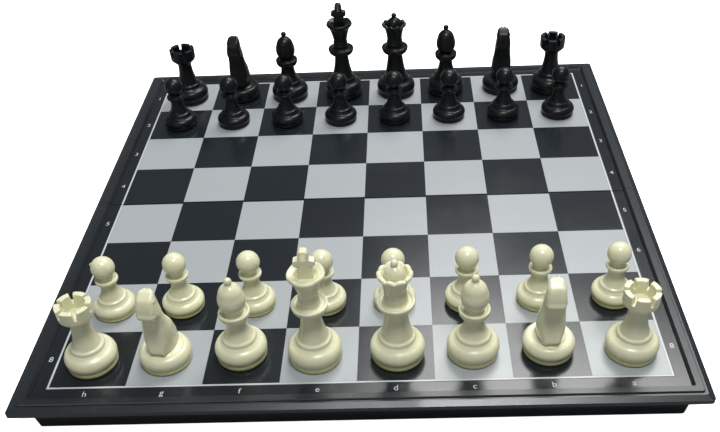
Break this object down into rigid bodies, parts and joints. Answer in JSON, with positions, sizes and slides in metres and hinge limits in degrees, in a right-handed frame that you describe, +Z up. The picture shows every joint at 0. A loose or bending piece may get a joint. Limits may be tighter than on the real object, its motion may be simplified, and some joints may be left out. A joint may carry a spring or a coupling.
{
  "type": "folding magnetic chess set",
  "caption": "Folding magnetic travel chess board of moulded plastic, hinged across its middle, with a full set of lift-off turned pieces.",
  "frame": {"origin": "middle of the open board, on the surface it rests on", "axes": "+Z up, +X from the h file to the a file, +Y from the eighth rank to the first"},
  "size_m": [0.32, 0.3218, 0.0836],
  "materials": {
    "case_plastic": "satin moulded",
    "sheet_black": "smooth printed film",
    "square_silver": "smooth silver print",
    "print_white": "printed line",
    "steel": "plain",
    "ivory_plastic": "gloss moulded",
    "black_plastic": "gloss moulded"
  },
  "bodies": {
    "front_half": {"front_case": "case_plastic", "front_backing": "steel", "front_sheet": "sheet_black", "front_squares": "square_silver", "front_border": "print_white", "left_hinge_pin": "steel", "right_hinge_pin": "steel"},
    "rear_half": {"rear_case": "case_plastic", "rear_backing": "steel", "rear_sheet": "sheet_black", "rear_squares": "square_silver", "rear_border": "print_white"},
    "white_rook_h": {"white_rook_h": "ivory_plastic"},
    "white_knight_g": {"white_knight_g": "ivory_plastic"},
    "white_bishop_f": {"white_bishop_f": "ivory_plastic"},
    "white_king": {"white_king": "ivory_plastic"},
    "white_queen": {"white_queen": "ivory_plastic"},
    "white_bishop_c": {"white_bishop_c": "ivory_plastic"},
    "white_knight_b": {"white_knight_b": "ivory_plastic"},
    "white_rook_a": {"white_rook_a": "ivory_plastic"},
    "white_pawn_h": {"white_pawn_h": "ivory_plastic"},
    "white_pawn_g": {"white_pawn_g": "ivory_plastic"},
    "white_pawn_f": {"white_pawn_f": "ivory_plastic"},
    "white_pawn_e": {"white_pawn_e": "ivory_plastic"},
    "white_pawn_d": {"white_pawn_d": "ivory_plastic"},
    "white_pawn_c": {"white_pawn_c": "ivory_plastic"},
    "white_pawn_b": {"white_pawn_b": "ivory_plastic"},
    "white_pawn_a": {"white_pawn_a": "ivory_plastic"},
    "black_rook_h": {"black_rook_h": "black_plastic"},
    "black_knight_g": {"black_knight_g": "black_plastic"},
    "black_bishop_f": {"black_bishop_f": "black_plastic"},
    "black_king": {"black_king": "black_plastic"},
    "black_queen": {"black_queen": "black_plastic"},
    "black_bishop_c": {"black_bishop_c": "black_plastic"},
    "black_knight_b": {"black_knight_b": "black_plastic"},
    "black_rook_a": {"black_rook_a": "black_plastic"},
    "black_pawn_h": {"black_pawn_h": "black_plastic"},
    "black_pawn_g": {"black_pawn_g": "black_plastic"},
    "black_pawn_f": {"black_pawn_f": "black_plastic"},
    "black_pawn_e": {"black_pawn_e": "black_plastic"},
    "black_pawn_d": {"black_pawn_d": "black_plastic"},
    "black_pawn_c": {"black_pawn_c": "black_plastic"},
    "black_pawn_b": {"black_pawn_b": "black_plastic"},
    "black_pawn_a": {"black_pawn_a": "black_plastic"}
  },
  "joints": [
    {"name": "board_fold", "type": "hinge", "parent": "front_half", "child": "rear_half", "pos_m": [0, 0, 0.0025], "axis": [-1, 0, 0], "range_deg": [0, 180]},
    {"name": "lift_white_rook_h", "type": "slide", "parent": "front_half", "child": "white_rook_h", "axis": [0, 0, 1], "range_m": [0, 0.08]},
    {"name": "lift_white_knight_g", "type": "slide", "parent": "front_half", "child": "white_knight_g", "axis": [0, 0, 1], "range_m": [0, 0.08]},
    {"name": "lift_white_bishop_f", "type": "slide", "parent": "front_half", "child": "white_bishop_f", "axis": [0, 0, 1], "range_m": [0, 0.08]},
    {"name": "lift_white_king", "type": "slide", "parent": "front_half", "child": "white_king", "axis": [0, 0, 1], "range_m": [0, 0.08]},
    {"name": "lift_white_queen", "type": "slide", "parent": "front_half", "child": "white_queen", "axis": [0, 0, 1], "range_m": [0, 0.08]},
    {"name": "lift_white_bishop_c", "type": "slide", "parent": "front_half", "child": "white_bishop_c", "axis": [0, 0, 1], "range_m": [0, 0.08]},
    {"name": "lift_white_knight_b", "type": "slide", "parent": "front_half", "child": "white_knight_b", "axis": [0, 0, 1], "range_m": [0, 0.08]},
    {"name": "lift_white_rook_a", "type": "slide", "parent": "front_half", "child": "white_rook_a", "axis": [0, 0, 1], "range_m": [0, 0.08]},
    {"name": "lift_white_pawn_h", "type": "slide", "parent": "front_half", "child": "white_pawn_h", "axis": [0, 0, 1], "range_m": [0, 0.08]},
    {"name": "lift_white_pawn_g", "type": "slide", "parent": "front_half", "child": "white_pawn_g", "axis": [0, 0, 1], "range_m": [0, 0.08]},
    {"name": "lift_white_pawn_f", "type": "slide", "parent": "front_half", "child": "white_pawn_f", "axis": [0, 0, 1], "range_m": [0, 0.08]},
    {"name": "lift_white_pawn_e", "type": "slide", "parent": "front_half", "child": "white_pawn_e", "axis": [0, 0, 1], "range_m": [0, 0.08]},
    {"name": "lift_white_pawn_d", "type": "slide", "parent": "front_half", "child": "white_pawn_d", "axis": [0, 0, 1], "range_m": [0, 0.08]},
    {"name": "lift_white_pawn_c", "type": "slide", "parent": "front_half", "child": "white_pawn_c", "axis": [0, 0, 1], "range_m": [0, 0.08]},
    {"name": "lift_white_pawn_b", "type": "slide", "parent": "front_half", "child": "white_pawn_b", "axis": [0, 0, 1], "range_m": [0, 0.08]},
    {"name": "lift_white_pawn_a", "type": "slide", "parent": "front_half", "child": "white_pawn_a", "axis": [0, 0, 1], "range_m": [0, 0.08]},
    {"name": "lift_black_rook_h", "type": "slide", "parent": "rear_half", "child": "black_rook_h", "axis": [0, 0, 1], "range_m": [0, 0.08]},
    {"name": "lift_black_knight_g", "type": "slide", "parent": "rear_half", "child": "black_knight_g", "axis": [0, 0, 1], "range_m": [0, 0.08]},
    {"name": "lift_black_bishop_f", "type": "slide", "parent": "rear_half", "child": "black_bishop_f", "axis": [0, 0, 1], "range_m": [0, 0.08]},
    {"name": "lift_black_king", "type": "slide", "parent": "rear_half", "child": "black_king", "axis": [0, 0, 1], "range_m": [0, 0.08]},
    {"name": "lift_black_queen", "type": "slide", "parent": "rear_half", "child": "black_queen", "axis": [0, 0, 1], "range_m": [0, 0.08]},
    {"name": "lift_black_bishop_c", "type": "slide", "parent": "rear_half", "child": "black_bishop_c", "axis": [0, 0, 1], "range_m": [0, 0.08]},
    {"name": "lift_black_knight_b", "type": "slide", "parent": "rear_half", "child": "black_knight_b", "axis": [0, 0, 1], "range_m": [0, 0.08]},
    {"name": "lift_black_rook_a", "type": "slide", "parent": "rear_half", "child": "black_rook_a", "axis": [0, 0, 1], "range_m": [0, 0.08]},
    {"name": "lift_black_pawn_h", "type": "slide", "parent": "rear_half", "child": "black_pawn_h", "axis": [0, 0, 1], "range_m": [0, 0.08]},
    {"name": "lift_black_pawn_g", "type": "slide", "parent": "rear_half", "child": "black_pawn_g", "axis": [0, 0, 1], "range_m": [0, 0.08]},
    {"name": "lift_black_pawn_f", "type": "slide", "parent": "rear_half", "child": "black_pawn_f", "axis": [0, 0, 1], "range_m": [0, 0.08]},
    {"name": "lift_black_pawn_e", "type": "slide", "parent": "rear_half", "child": "black_pawn_e", "axis": [0, 0, 1], "range_m": [0, 0.08]},
    {"name": "lift_black_pawn_d", "type": "slide", "parent": "rear_half", "child": "black_pawn_d", "axis": [0, 0, 1], "range_m": [0, 0.08]},
    {"name": "lift_black_pawn_c", "type": "slide", "parent": "rear_half", "child": "black_pawn_c", "axis": [0, 0, 1], "range_m": [0, 0.08]},
    {"name": "lift_black_pawn_b", "type": "slide", "parent": "rear_half", "child": "black_pawn_b", "axis": [0, 0, 1], "range_m": [0, 0.08]},
    {"name": "lift_black_pawn_a", "type": "slide", "parent": "rear_half", "child": "black_pawn_a", "axis": [0, 0, 1], "range_m": [0, 0.08]}
  ]
}
